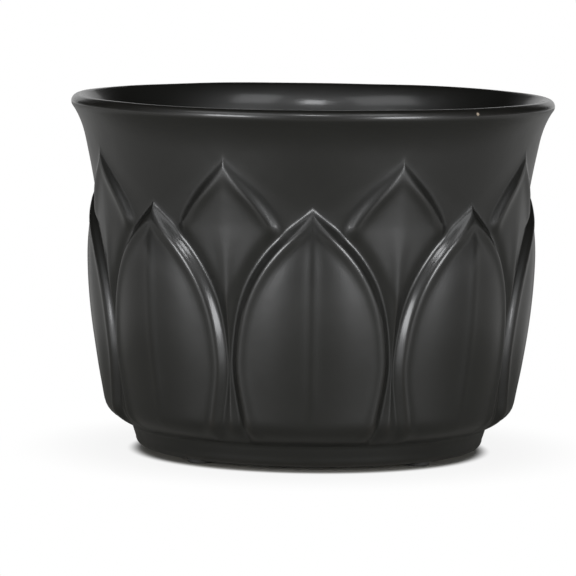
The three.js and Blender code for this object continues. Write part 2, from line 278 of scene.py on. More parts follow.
# How white the floor is in the glaze, where it glows only in reflections: a dim round behind the pot, and a
# painted grey reflection at its sides
DIM_MIDDLE = (0, 0.6, 0)
DIM_EDGE = (0.78, 1.15)
SIDE_DEPTH = (-0.45, 0.15)
SIDE_AWAY = (0.16, 0.3)
SIDE_WHITE = 0.32


def smoothstep(value, low, high):
    """0 below low and 1 above high, smoothly."""
    share = np.clip((value - low) / (high - low), 0, 1)
    return share * share * (3 - 2 * share)


def mix(a, b, share):
    return a + (b - a) * share


# Sections: lists of (radius, height) points


def bend(start, leave_lean, leave_pull, end, arrive_lean, arrive_pull, rows):
    """Points after start on a curve that leaves and arrives at the given leans from upright."""
    start, end = np.array(start, float), np.array(end, float)
    leave = start + leave_pull * np.array([math.sin(leave_lean), math.cos(leave_lean)])
    arrive = end - arrive_pull * np.array([math.sin(arrive_lean), math.cos(arrive_lean)])
    t = np.linspace(0, 1, rows + 1)[1:, None]
    u = 1 - t
    curve = u**3 * start + 3 * u**2 * t * leave + 3 * u * t**2 * arrive + t**3 * end
    return [tuple(point) for point in curve]


def arc(radius, height, size, start, end, rows):
    """Points on a round edge, between two angles in degrees from straight out."""
    angles = np.radians(np.linspace(start, end, rows + 1))
    return [(radius + size * math.cos(a), height + size * math.sin(a)) for a in angles]


def straight(start, end, rows):
    """Points after start on a straight line."""
    start, end = np.array(start, float), np.array(end, float)
    return [tuple(mix(start, end, i / rows)) for i in range(1, rows + 1)]


def lip_point(angle):
    """The point of the round lip at an angle from straight out."""
    return (
        RIM_RADIUS - LIP_RADIUS + LIP_RADIUS * math.cos(angle),
        RIM_Z - LIP_RADIUS + LIP_RADIUS * math.sin(angle),
    )


def outer_wall():
    """From the top of the foot round the lower edge and up the flare to the lip."""
    foot = (FOOT_RADIUS, FOOT_Z + FOOT_HEIGHT)
    body = (BODY_RADIUS, BODY_Z)
    neck = (NECK_RADIUS, NECK_Z)
    points = [foot]
    points += bend(foot, LEDGE_LEAN, LEDGE_PULL, body, WALL_LEAN, BODY_PULL, LEDGE_ROWS)
    points += straight(body, neck, WALL_ROWS)
    points += bend(neck, WALL_LEAN, FLARE_PULL, CURL, CURL_LEAN, FLARE_PULL, FLARE_ROWS)
    points += bend(CURL, CURL_LEAN, CURL_PULL, lip_point(-LIP_LEAN), LIP_LEAN, LIP_PULL, CURL_ROWS)
    return points


def foot_side():
    """From the foot ring's flat round its lower edge and up to the crease under the wall."""
    edge_z = FOOT_Z + FOOT_EDGE_RADIUS
    low = (RING_OUTER + FOOT_EDGE_RADIUS, edge_z)
    high = (FOOT_RADIUS - FOOT_CREASE * FOOT_CREASE_SLOPE, FOOT_Z + FOOT_HEIGHT - FOOT_CREASE)
    edge = arc(RING_OUTER, edge_z, FOOT_EDGE_RADIUS, -90, 0, FOOT_EDGE_ROWS)
    return edge + straight(low, high, FOOT_SIDE_ROWS)


def round_lip():
    """Over the lip, from the end of the outer wall to the start of the inside."""
    angles = np.linspace(-LIP_LEAN, math.pi - LIP_INNER_LEAN, LIP_ROWS + 1)
    return [lip_point(angle) for angle in angles[1:-1]]


def inside_wall():
    """From the lip down the inside, over the fillet and the floor to the drain's upper edge."""
    low = (BODY_RADIUS - WALL, FLOOR_Z + FLOOR_FILLET)
    neck = (NECK_RADIUS - WALL, NECK_Z)
    lip = lip_point(math.pi - LIP_INNER_LEAN)
    upwards = [low]
    upwards += bend(low, 0, INSIDE_PULL, neck, WALL_LEAN, INSIDE_PULL, INSIDE_ROWS)
    upwards += bend(neck, WALL_LEAN, INSIDE_NECK_PULL, KNEE, KNEE_LEAN, KNEE_PULL, KNEE_ROWS)
    upwards += bend(KNEE, KNEE_LEAN, LIP_INNER_PULL, lip, LIP_INNER_LEAN, LIP_INNER_PULL, KNEE_ROWS)
    fillet = arc(low[0] - FLOOR_FILLET, low[1], FLOOR_FILLET, 0, -90, FILLET_ROWS)
    floor = straight(fillet[-1], (DRAIN_RADIUS + 2 * DRAIN_ROUND, FLOOR_Z), FLOOR_ROWS)
    drain = arc(DRAIN_RADIUS + DRAIN_ROUND, FLOOR_Z - DRAIN_ROUND, DRAIN_ROUND, 90, 180, ROUND_ROWS)
    return upwards[::-1] + fillet[1:] + floor + drain


def underside():
    """From the drain's lower edge over the recess to the foot ring's flat."""
    drain = arc(DRAIN_RADIUS + DRAIN_ROUND, RECESS_Z + DRAIN_ROUND, DRAIN_ROUND, 180, 270, ROUND_ROWS)
    corner = RING_INNER - RECESS_DRAFT - RECESS_ROUND
    recess = straight((DRAIN_RADIUS + 2 * DRAIN_ROUND, RECESS_Z), (corner - EDGE_HOLD, RECESS_Z), RECESS_ROWS)
    edge = arc(corner, RECESS_Z - RECESS_ROUND, RECESS_ROUND, 90, 0, ROUND_ROWS)
    ring = arc(RING_INNER + RECESS_ROUND, FOOT_Z + RECESS_ROUND, RECESS_ROUND, 180, 270, ROUND_ROWS)
    return drain + recess + edge + ring + [(RING_OUTER - EDGE_HOLD, FOOT_Z)]


# Modelling

MERGE_DISTANCE = 0.001
SHORTEST_EDGE = 0.02
EDGE_SOFTENING = 3


def deselect():
    bpy.ops.object.select_all(action="DESELECT")


def make_active(piece):
    deselect()
    piece.select_set(True)
    bpy.context.view_layer.objects.active = piece


def new_piece(name):
    """The primitive that was just added, under its own name."""
    piece = bpy.context.active_object
    piece.name = name
    piece.data.name = name
    return piece


def draw_section(name, points, axis=(0, 0), closed=False):
    """A piece that holds one section: a single vertex drawn out from point to point."""
    deselect()
    bpy.ops.mesh.primitive_plane_add(size=MM, location=(0, 0, 0))
    piece = new_piece(name)
    places = [Vector((axis[0] + radius, axis[1], height)) * MM for radius, height in points]
    bpy.ops.object.mode_set(mode="EDIT")
    bpy.ops.mesh.merge(type="CENTER")
    bpy.ops.transform.translate(value=places[0])
    for here, there in zip(places, places[1:]):
        bpy.ops.mesh.extrude_region_move(TRANSFORM_OT_translate={"value": there - here})
    bpy.ops.object.mode_set(mode="OBJECT")
    if closed:
        ends = {0, len(places) - 1}
        for vertex in piece.data.vertices:
            vertex.select = vertex.index in ends
        bpy.ops.object.mode_set(mode="EDIT")
        bpy.ops.mesh.edge_face_add()
        bpy.ops.object.mode_set(mode="OBJECT")
    return piece


def spin_section(piece, columns, axis=(0, 0)):
    """Spins a section into a closed round body."""
    make_active(piece)
    bpy.ops.object.mode_set(mode="EDIT")
    bpy.ops.mesh.select_all(action="SELECT")
    centre = (axis[0] * MM, axis[1] * MM, 0)
    bpy.ops.mesh.spin(steps=columns, angle=2 * math.pi, center=centre, axis=(0, 0, 1))
    bpy.ops.mesh.select_all(action="SELECT")
    bpy.ops.mesh.remove_doubles(threshold=MERGE_DISTANCE * MM)
    bpy.ops.mesh.normals_make_consistent(inside=False)
    bpy.ops.object.mode_set(mode="OBJECT")
    bpy.ops.object.shade_smooth()


def apply_modifiers(piece):
    make_active(piece)
    for modifier in list(piece.modifiers):
        bpy.ops.object.modifier_apply(modifier=modifier.name)


def vertex_places(piece):
    """Each vertex's place, in millimetres."""
    places = np.zeros(len(piece.data.vertices) * 3, np.float32)
    piece.data.vertices.foreach_get("co", places)
    return places.reshape(-1, 3) / MM


def store_edges(piece):
    """Keeps how sharply the surface turns outwards at each vertex, for worn and thinly glazed edges."""
    mesh = piece.data
    places = vertex_places(piece)
    normals = np.zeros(len(places) * 3, np.float32)
    mesh.vertex_normals.foreach_get("vector", normals)
    normals = normals.reshape(-1, 3)
    ends = np.zeros(len(mesh.edges) * 2, np.int32)
    mesh.edges.foreach_get("vertices", ends)
    a, b = ends.reshape(-1, 2).T
    along = places[b] - places[a]
    length = np.maximum(np.linalg.norm(along, axis=1), SHORTEST_EDGE)
    turn = ((normals[b] - normals[a]) * along).sum(axis=1) / length**2
    count = len(places)
    total = np.bincount(a, length, count) + np.bincount(b, length, count)
    bent = (np.bincount(a, turn * length, count) + np.bincount(b, turn * length, count)) / total
    for _ in range(EDGE_SOFTENING):
        near = np.bincount(a, bent[b] * length, count) + np.bincount(b, bent[a] * length, count)
        bent = (bent + near / total) / 2
    edge = mesh.attributes.new("edge", "FLOAT", "POINT")
    edge.data.foreach_set("value", bent.astype(np.float32))


# Relief


def half_angle(rise, length):
    """Half the angle that a petal spans at a length up the wall, negative beyond its tip."""
    share = np.maximum(rise / length, 0)
    left = 1 - share**PETAL_UPRIGHT
    outline = np.sign(left) * np.abs(left) ** PETAL_POINT
    root = mix(PETAL_ROOT_WIDTH, 1, smoothstep(share, 0, PETAL_ROOT_END))
    return PITCH / 2 * PETAL_FULLNESS * outline * root


def outline_slant(rise, radius, length):
    """How much longer the outline is than its height, where it leans over towards the tip."""
    change = half_angle(rise + SLANT_STEP, length) - half_angle(rise - SLANT_STEP, length)
    return np.hypot(1, change * radius / (2 * SLANT_STEP))


def ridge(distance, width):
    """A round ridge of height 1 along a line."""
    return np.exp(-((distance / width) ** 2))


def edge_inset(offset, rise, radius, length):
    """Distance inside a petal's outline, negative outside."""
    return (half_angle(rise, length) - np.abs(offset)) * radius / outline_slant(rise, radius, length)


def petal(offset, rise, radius, length, step, crown):
    """How far a petal covers what lies behind, and its height above the plain wall."""
    half = half_angle(rise, length)
    inset = edge_inset(offset, rise, radius, length)
    across = np.clip(np.abs(offset) / np.maximum(half, LEAST_ANGLE), 0, 1)
    share = rise / length
    bead_fade = 1 - smoothstep(share, *BEAD_END)
    rib_fade = smoothstep(share, *RIB_START) * (1 - smoothstep(share, *RIB_END))
    cover = smoothstep(inset, -STEP_WIDTH / 2, STEP_WIDTH / 2)
    shoulder = 1 - np.clip((share - CROWN_PEAK) / (1 - CROWN_PEAK), 0, 1) ** CROWN_SHOULDER
    swell = mix(CROWN_AT_ROOT, 1, smoothstep(share, 0, CROWN_PEAK)) * shoulder
    height = step + crown * swell * (1 - across**CROWN_SIDES)
    height += BEAD_HEIGHT * bead_fade * ridge(inset - BEAD_INSET, BEAD_WIDTH)
    height += RIB_HEIGHT * rib_fade * ridge(offset * radius, RIB_WIDTH)
    return cover, height


def relief_height(offset, rise, radius, wall_length):
    """Height of the relief above the plain wall, at an angle from the nearest front petal's middle."""
    front_length, back_length = wall_length - FRONT_TIP_DROP, wall_length - BACK_TIP_DROP
    from_back = PITCH / 2 - np.abs(offset)
    front_cover, front = petal(offset, rise, radius, front_length, FRONT_STEP, FRONT_CROWN)
    back_cover, back = petal(from_back, rise, radius, back_length, BACK_STEP, BACK_CROWN)
    tuck = mix(TUCK_LEFT, 1, smoothstep(-edge_inset(offset, rise, radius, front_length), 0, TUCK_WIDTH))
    return mix(back_cover * back * tuck, front, front_cover) * smoothstep(rise, 0, ROOT_FADE)


def column_angles(rise, radius, wall_length):
    """Angles of the mesh columns in half a pitch. They follow the ribs, beads and outlines of both rows."""
    last = PITCH / 2
    front_length, back_length = wall_length - FRONT_TIP_DROP, wall_length - BACK_TIP_DROP
    front_turn = outline_slant(rise, radius, front_length) / radius
    back_turn = outline_slant(rise, radius, back_length) / radius
    least = LEAST_HALF * last
    spread = last / 2 * smoothstep(rise, front_length, back_length)
    front = max(half_angle(rise, front_length), least, spread)
    crest = max(front - BEAD_INSET * front_turn, LEAST_CREST * front)
    bead_foot = max(crest - BEAD_FOOT * BEAD_WIDTH * front_turn, crest / 2)
    rib_side = min(RIB_SIDE * RIB_WIDTH / radius, bead_foot / 3)
    front_foot = min(front + STEP_WIDTH / 2 * front_turn, mix(front, last, STEP_ROOM))
    back = last - max(half_angle(rise, back_length), least)
    back_foot = max(back - STEP_WIDTH / 2 * back_turn, mix(front_foot, last, GAP_ROOM))
    back_crest = min(back + BEAD_INSET * back_turn, mix(back, last, BACK_ROOM))
    back_crest = max(back_crest, mix(back_foot, last, BACK_ROOM))
    back_bead_foot = back_crest + BEAD_FOOT * BEAD_WIDTH * back_turn
    back_bead_foot = min(back_bead_foot, mix(back_crest, last, BACK_FOOT_ROOM))
    lines = [0, rib_side, bead_foot, crest, front_foot, back_foot, back_crest, back_bead_foot, last]
    places = np.arange(HALF_COLUMNS + 1)
    followed = np.interp(places, np.cumsum([0, *COLUMN_SHARES]), lines)
    hold = smoothstep(rise, 0, ROOT_FADE) * (1 - smoothstep(rise, back_length, wall_length))
    return mix(last * places / HALF_COLUMNS, followed, hold)


def weigh(piece, name, weights):
    """A vertex group with a weight for each vertex."""
    group = piece.vertex_groups.new(name=name)
    for index in np.nonzero(weights > 0)[0]:
        group.add([int(index)], float(weights[index]), "REPLACE")
    return name


def raise_relief(piece, wall_points):
    """Shifts the columns of the plain wall to the petals' lines, then raises the petals out of it."""
    steps = np.linalg.norm(np.diff(np.array(wall_points), axis=0), axis=1)
    rises = np.array([0, *np.cumsum(steps)])
    radii = np.array([radius for radius, _ in wall_points])
    table = np.array([column_angles(rise, radius, rises[-1]) for rise, radius in zip(rises, radii)])
    row = np.zeros(len(piece.data.vertices), np.int32)
    piece.data.attributes["wall_row"].data.foreach_get("value", row)
    places = vertex_places(piece)
    angle = np.arctan2(places[:, 1], places[:, 0]) + math.pi / 2
    column = np.rint(angle * POT_COLUMNS / (2 * math.pi)).astype(int) % POT_COLUMNS
    nearest = np.rint(column / (2 * HALF_COLUMNS)).astype(int)
    place = column - nearest * 2 * HALF_COLUMNS
    offset = np.sign(place) * table[row, np.abs(place)]
    on_wall = row >= 0
    turned = nearest * PITCH + offset - math.pi / 2
    radius = np.hypot(places[:, 0], places[:, 1])
    places[on_wall, 0] = (radius * np.cos(turned))[on_wall]
    places[on_wall, 1] = (radius * np.sin(turned))[on_wall]
    piece.data.vertices.foreach_set("co", (places * MM).ravel())
    piece.data.update()
    relief = np.where(on_wall, relief_height(offset, rises[row], radius, rises[-1]), 0)
    highest = float(relief.max())
    lift = piece.modifiers.new("relief", "DISPLACE")
    lift.vertex_group = weigh(piece, "relief", relief / highest)
    lift.strength = highest * MM
    lift.mid_level = 0
    clouds = bpy.data.textures.new("casting_wave", "CLOUDS")
    clouds.noise_scale = WAVE_SIZE * MM
    clouds.noise_depth = 1
    wave = piece.modifiers.new("casting_wave", "DISPLACE")
    wave.texture = clouds
    wave.texture_coords = "LOCAL"
    above_floor = smoothstep(places[:, 2], *[FLOOR_Z + rise for rise in WAVE_RISE])
    wave.vertex_group = weigh(piece, "casting_wave", above_floor)
    wave.strength = CASTING_WAVE * MM
    flow = piece.modifiers.new("glaze_flow", "SMOOTH")
    below_lip = smoothstep(rises[-1] - rises[row], 0, FLOW_FADE)
    flow.vertex_group = weigh(piece, "glaze_flow", np.where(row > 0, below_lip, 0))
    flow.factor = FLOW_STRENGTH
    flow.iterations = FLOW_PASSES
    halves = piece.modifiers.new("halves", "TRIANGULATE")
    halves.quad_method = "BEAUTY"
    apply_modifiers(piece)
    piece.vertex_groups.clear()
    piece.data.attributes.remove(piece.data.attributes["wall_row"])


def make_pot():
    """The glazed pot, spun from one closed section whose wall rows are marked for the relief."""
    wall = outer_wall()
    before, after = foot_side(), round_lip() + inside_wall() + underside()
    piece = draw_section("glazed_pot", before + wall + after, closed=True)
    rows = [-1] * len(before) + list(range(len(wall))) + [-1] * len(after)
    wall_row = piece.data.attributes.new("wall_row", "INT", "POINT")
    wall_row.data.foreach_set("value", np.array(rows, np.int32))
    spin_section(piece, POT_COLUMNS)
    raise_relief(piece, wall)
    store_edges(piece)
    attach(piece, "pot")
    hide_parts("pot_body")
    return piece


# Plug, screen and pads


def make_plug():
    """A moulded rubber plug: a grip under a flange, and a stem with two round ribs, cupped at the top."""
    low, high = box_mm("drain_plug")
    flange_radius = high.x
    flange_top = RECESS_Z - FLANGE_GAP
    flange_low = flange_top - FLANGE_THICKNESS
    stem_rise = high.z - flange_top
    cup_edge = high.z - CUP_ROUND
    cup_floor = high.z - CUP_DEPTH
    low_round, top_round = FLANGE_LOW_ROUND, FLANGE_TOP_ROUND
    points = [(radius, low.z + rise) for radius, rise in DIMPLE]
    points += arc(GRIP_RADIUS - GRIP_ROUND, low.z + GRIP_ROUND, GRIP_ROUND, -90, 0, ROUND_ROWS)
    points += arc(GRIP_RADIUS + GRIP_ROUND, flange_low - GRIP_ROUND, GRIP_ROUND, 180, 90, ROUND_ROWS)
    points += arc(flange_radius - low_round, flange_low + low_round, low_round, -90, 0, ROUND_ROWS)
    points += arc(flange_radius - top_round, flange_top - top_round, top_round, 0, 90, ROUND_ROWS)
    for share in np.linspace(0, 1, STEM_ROWS + 1)[:-2]:
        rib = STEM_RIB * math.sin(2 * math.pi * share) ** 2
        points.append((STEM_RADIUS + rib, flange_top + stem_rise * share))
    points += arc(STEM_RADIUS - CUP_ROUND, cup_edge, CUP_ROUND, 10, 90, ROUND_ROWS)
    points += arc(CUP_RADIUS + CUP_ROUND, cup_edge, CUP_ROUND, 90, 180, ROUND_ROWS)
    points += arc(CUP_RADIUS - CUP_FILLET, cup_floor + CUP_FILLET, CUP_FILLET, 0, -90, ROUND_ROWS)
    points.append((0, cup_floor))
    piece = draw_section("rubber_plug", points)
    spin_section(piece, PLUG_COLUMNS)
    store_edges(piece)
    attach(piece, "plug")
    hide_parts("drain_plug")
    return piece


def make_screen():
    """A moulded disc of crossing bars inside a plain border, with every edge rounded."""
    low, high = box_mm("drain_screen")
    radius = high.x
    thickness = high.z - low.z
    middle = (low.z + high.z) / 2
    opening = SCREEN_PITCH - SCREEN_BAR
    room = radius - SCREEN_BORDER
    reach = int(radius // SCREEN_PITCH)
    steps = [step * SCREEN_PITCH for step in range(-reach, reach + 1)]
    deselect()
    bpy.ops.mesh.primitive_cube_add(size=opening * MM, location=(0, 0, 0))
    cutter = new_piece("screen_openings")
    bpy.ops.object.mode_set(mode="EDIT")
    bpy.ops.mesh.delete(type="VERT")
    for x in steps:
        for y in steps:
            if math.hypot(abs(x) + opening / 2, abs(y) + opening / 2) <= room:
                place = (x * MM, y * MM, middle * MM)
                bpy.ops.mesh.primitive_cube_add(size=opening * MM, location=place)
    bpy.ops.object.mode_set(mode="OBJECT")
    deselect()
    bpy.ops.mesh.primitive_cylinder_add(
        vertices=SCREEN_SIDES, radius=radius * MM, depth=thickness * MM, location=(0, 0, middle * MM)
    )
    piece = new_piece("plastic_screen")
    bpy.ops.object.transform_apply(location=True, rotation=True, scale=True)
    cut = piece.modifiers.new("openings", "BOOLEAN")
    cut.object = cutter
    cut.solver = "EXACT"
    round_edges = piece.modifiers.new("rounded", "BEVEL")
    round_edges.width = SCREEN_ROUND * MM
    round_edges.segments = SCREEN_ROUND_ROWS
    round_edges.limit_method = "ANGLE"
    round_edges.angle_limit = SCREEN_ROUND_FROM
    apply_modifiers(piece)
    bpy.data.objects.remove(cutter)
    make_active(piece)
    bpy.ops.object.shade_smooth_by_angle(angle=SCREEN_SMOOTH_TO)
    store_edges(piece)
    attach(piece, "screen")
    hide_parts("drain_screen")
    return piece


def make_pads():
    """Rubber discs under the foot ring, with a round lower edge and a faint ring moulded in the sole."""
    pads = []
    for number in range(1, PAD_COUNT + 1):
        low, high = box_mm(f"foot_pad_{number}")
        axis = ((low.x + high.x) / 2, (low.y + high.y) / 2)
        radius = (high.x - low.x) / 2
        points = [(0, 0)] + [(radius - inset, rise) for inset, rise in SOLE_RING]
        points += arc(radius - PAD_LOW_ROUND, PAD_LOW_ROUND, PAD_LOW_ROUND, -90, 0, PAD_LOW_ROWS)
        points += arc(radius - PAD_TOP_ROUND, high.z - PAD_TOP_ROUND, PAD_TOP_ROUND, 0, 90, PAD_TOP_ROWS)
        points.append((0, high.z))
        piece = draw_section(f"rubber_pad_{number}", points, axis=axis)
        spin_section(piece, PAD_COLUMNS, axis=axis)
        store_edges(piece)
        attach(piece, "pot")
        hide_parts(f"foot_pad_{number}")
        pads.append(piece)
    return pads


# Materials


def add_node(tree, kind, inputs=None, **settings):
    """A node with its settings, and with its inputs linked to a socket or set to a value."""
    node = tree.nodes.new(kind)
    for name, value in settings.items():
        setattr(node, name, value)
    for name, value in (inputs or {}).items():
        if isinstance(value, bpy.types.NodeSocket):
            tree.links.new(value, node.inputs[name])
        else:
            node.inputs[name].default_value = value
    return node


def new_group(name, inputs, output):
    """An empty node group with number inputs, at their usual values, and one number output."""
    tree = bpy.data.node_groups.new(name, "ShaderNodeTree")
    for label, usual in inputs.items():
        tree.interface.new_socket(label, in_out="INPUT", socket_type="NodeSocketFloat").default_value = usual
    tree.interface.new_socket(output, in_out="OUTPUT", socket_type="NodeSocketFloat")
    return tree, tree.nodes.new("NodeGroupInput").outputs, tree.nodes.new("NodeGroupOutput").inputs[output]


def object_coordinates(tree):
    return add_node(tree, "ShaderNodeTexCoord").outputs["Object"]


def along(tree, where, axis):
    """How far a place lies along an axis."""
    return add_node(tree, "ShaderNodeSeparateXYZ", {"Vector": where}).outputs[axis]


def noise(tree, scale, detail, roughness=0.5):
    """Cloudy noise through the piece, about 0.5."""
    inputs = {"Vector": object_coordinates(tree), "Scale": scale, "Detail": detail, "Roughness": roughness}
    return add_node(tree, "ShaderNodeTexNoise", inputs).outputs["Fac"]


def reckon(tree, operation, *values, use_clamp=False):
    """The result of one sum on values."""
    inputs = dict(enumerate(values))
    return add_node(tree, "ShaderNodeMath", inputs, operation=operation, use_clamp=use_clamp).outputs[0]


def measure(tree, operation, *places):
    """The length of a place from the origin, or the distance between two places."""
    inputs = dict(enumerate(places))
    return add_node(tree, "ShaderNodeVectorMath", inputs, operation=operation).outputs["Value"]


def between(tree, value, low, high):
    """0 at low and 1 at high, smoothly."""
    inputs = {"Value": value, "From Min": low, "From Max": high}
    return add_node(tree, "ShaderNodeMapRange", inputs, interpolation_type="SMOOTHSTEP").outputs["Result"]


def blend_values(tree, factor, first, second):
    """A value between two, by a mask."""
    return add_node(tree, "ShaderNodeMix", {"Factor": factor, "A": first, "B": second}).outputs["Result"]


def blend_colours(tree, factor, first, second):
    """A colour between two, by a mask."""
    node = add_node(tree, "ShaderNodeMix", data_type="RGBA")
    for socket, value in (("Factor_Float", factor), ("A_Color", first), ("B_Color", second)):
        target = next(s for s in node.inputs if s.identifier == socket)
        if isinstance(value, bpy.types.NodeSocket):
            tree.links.new(value, target)
        else:
            target.default_value = value
    return next(s for s in node.outputs if s.identifier == "Result_Color")


def blend_shaders(tree, factor, first, second):
    """A shader between two, by a mask."""
    return add_node(tree, "ShaderNodeMixShader", {0: factor, 1: first, 2: second}).outputs["Shader"]


def mottle_group():
    """Cloudy patches over the surface, from 0 to 1."""
    tree, given, patches = new_group("mottle", {"Scale": 30, "Detail": 3, "Contrast": 1}, "Patches")
    clouds = noise(tree, given["Scale"], given["Detail"], roughness=0.55)
    centred = reckon(tree, "SUBTRACT", clouds, 0.5)
    spread = reckon(tree, "MULTIPLY_ADD", centred, given["Contrast"], 0.5, use_clamp=True)
    tree.links.new(spread, patches)
    return tree


def edge_group():
    """A mask along the edges that turn outwards, broken up by noise."""
    tree, given, edge = new_group("worn_edge", {"Start": 0.05, "End": 0.25, "Break": 0.5}, "Edge")
    turn = add_node(tree, "ShaderNodeAttribute", attribute_name="edge").outputs["Fac"]
    sharp = between(tree, turn, given["Start"], given["End"])
    patch = between(tree, noise(tree, scale=160, detail=4, roughness=0.6), 0.35, 0.65)
    keep = reckon(tree, "SUBTRACT", 1.0, given["Break"])
    part = reckon(tree, "MULTIPLY_ADD", patch, given["Break"], keep)
    tree.links.new(reckon(tree, "MULTIPLY", sharp, part), edge)
    return tree


def grain_group():
    """Fine unevenness as a height from 0 to 1: a soft swell and a grain."""
    usual = {"Swell Scale": 220, "Grain Scale": 1400, "Grain": 0.3}
    tree, given, height = new_group("fine_grain", usual, "Height")
    swell = noise(tree, given["Swell Scale"], detail=1)
    grain = noise(tree, given["Grain Scale"], detail=2)
    tree.links.new(blend_values(tree, given["Grain"], swell, grain), height)
    return tree


MOTTLE = mottle_group()
EDGE = edge_group()
GRAIN = grain_group()


def use_group(tree, group, **values):
    """Places a node group in a material, with its own values, and gives its output."""
    node = add_node(tree, "ShaderNodeGroup", node_tree=group)
    for name, value in values.items():
        node.inputs[name.replace("_", " ")].default_value = value
    return node.outputs[0]


def new_material(name):
    material = bpy.data.materials.new(name)
    material.use_nodes = True
    tree = material.node_tree
    return material, tree, tree.nodes["Principled BSDF"]


def bump(tree, shader, height, depth):
    """Raises the surface's shading by a height from 0 to 1, to a depth in millimetres."""
    node = add_node(tree, "ShaderNodeBump", {"Height": height, "Distance": depth * MM, "Strength": 1})
    tree.links.new(node.outputs["Normal"], shader.inputs["Normal"])


def bare_ring_mask(tree):
    """The foot ring's flat, which is wiped clean of glaze before firing."""
    where = object_coordinates(tree)
    height = along(tree, where, "Z")
    flat = add_node(tree, "ShaderNodeVectorMath", {0: where, 1: (1, 1, 0)}, operation="MULTIPLY")
    radius = measure(tree, "LENGTH", flat.outputs["Vector"])
    low = between(tree, height, *[(FOOT_Z + rise) * MM for rise in WIPE_RISE])
    within = between(tree, radius, *[(RING_OUTER - inset) * MM for inset in WIPE_INSET])
    return reckon(tree, "MULTIPLY", low, within)


def speck_mask(tree):
    """A pinhole in the glaze on the lip, where the clay shows."""
    away = measure(tree, "DISTANCE", object_coordinates(tree), SPECK * MM)
    return between(tree, away, *[distance * MM for distance in SPECK_EDGE])


def make_glaze():
    """Satin black glaze: deep and smooth, thinner and browner on the edges, over a pale clay."""
    material, tree, shader = new_material("black_glaze")
    patches = use_group(tree, MOTTLE, Scale=26, Detail=4, Contrast=1.6)
    edge = use_group(tree, EDGE, Start=0.05, End=0.3, Break=0.6)
    grain = use_group(tree, GRAIN, Swell_Scale=210, Grain_Scale=1500, Grain=0.2)
    bare = bare_ring_mask(tree)
    deep = blend_colours(tree, patches, GLAZE_DEEP, GLAZE_CLOUDY)
    glazed = blend_colours(tree, edge, deep, GLAZE_THIN)
    clay = blend_colours(tree, grain, CLAY_DARK, CLAY_PALE)
    glazed = blend_colours(tree, speck_mask(tree), glazed, clay)
    tree.links.new(blend_colours(tree, bare, glazed, clay), shader.inputs["Base Color"])
    satin = blend_values(tree, patches, *GLAZE_ROUGHNESS)
    tree.links.new(blend_values(tree, bare, satin, CLAY_ROUGHNESS), shader.inputs["Roughness"])
    tree.links.new(blend_values(tree, bare, GLAZE_COAT, 0.0), shader.inputs["Coat Weight"])
    shader.inputs["Coat Roughness"].default_value = GLAZE_COAT_ROUGHNESS
    bump(tree, shader, grain, GLAZE_DEPTH)
    return material


def make_rubber():
    """Moulded rubber: matt, faintly dusty, paler where its edges are rubbed."""
    material, tree, shader = new_material("black_rubber")
    patches = use_group(tree, MOTTLE, Scale=90, Detail=5, Contrast=1.8)
    edge = use_group(tree, EDGE, Start=0.3, End=1.2, Break=0.7)
    grain = use_group(tree, GRAIN, Swell_Scale=700, Grain_Scale=4200, Grain=0.6)
    dusty = blend_colours(tree, patches, RUBBER_BLACK, RUBBER_DUSTY)
    tree.links.new(blend_colours(tree, edge, dusty, RUBBER_DUSTY), shader.inputs["Base Color"])
    tree.links.new(blend_values(tree, patches, *RUBBER_ROUGHNESS), shader.inputs["Roughness"])
    bump(tree, shader, grain, RUBBER_DEPTH)
    return material


def make_plastic():
    """Moulded plastic: dark grey with a fine spark-eroded grain."""
    material, tree, shader = new_material("grey_plastic")
    patches = use_group(tree, MOTTLE, Scale=120, Detail=3, Contrast=1.4)
    edge = use_group(tree, EDGE, Start=0.5, End=2.0, Break=0.5)
    grain = use_group(tree, GRAIN, Swell_Scale=900, Grain_Scale=5200, Grain=0.7)
    plain = blend_colours(tree, patches, PLASTIC_DARK, PLASTIC_CLOUDY)
    tree.links.new(blend_colours(tree, edge, plain, PLASTIC_RUBBED), shader.inputs["Base Color"])
    tree.links.new(blend_values(tree, patches, *PLASTIC_ROUGHNESS), shader.inputs["Roughness"])
    bump(tree, shader, grain, PLASTIC_DEPTH)
    return material


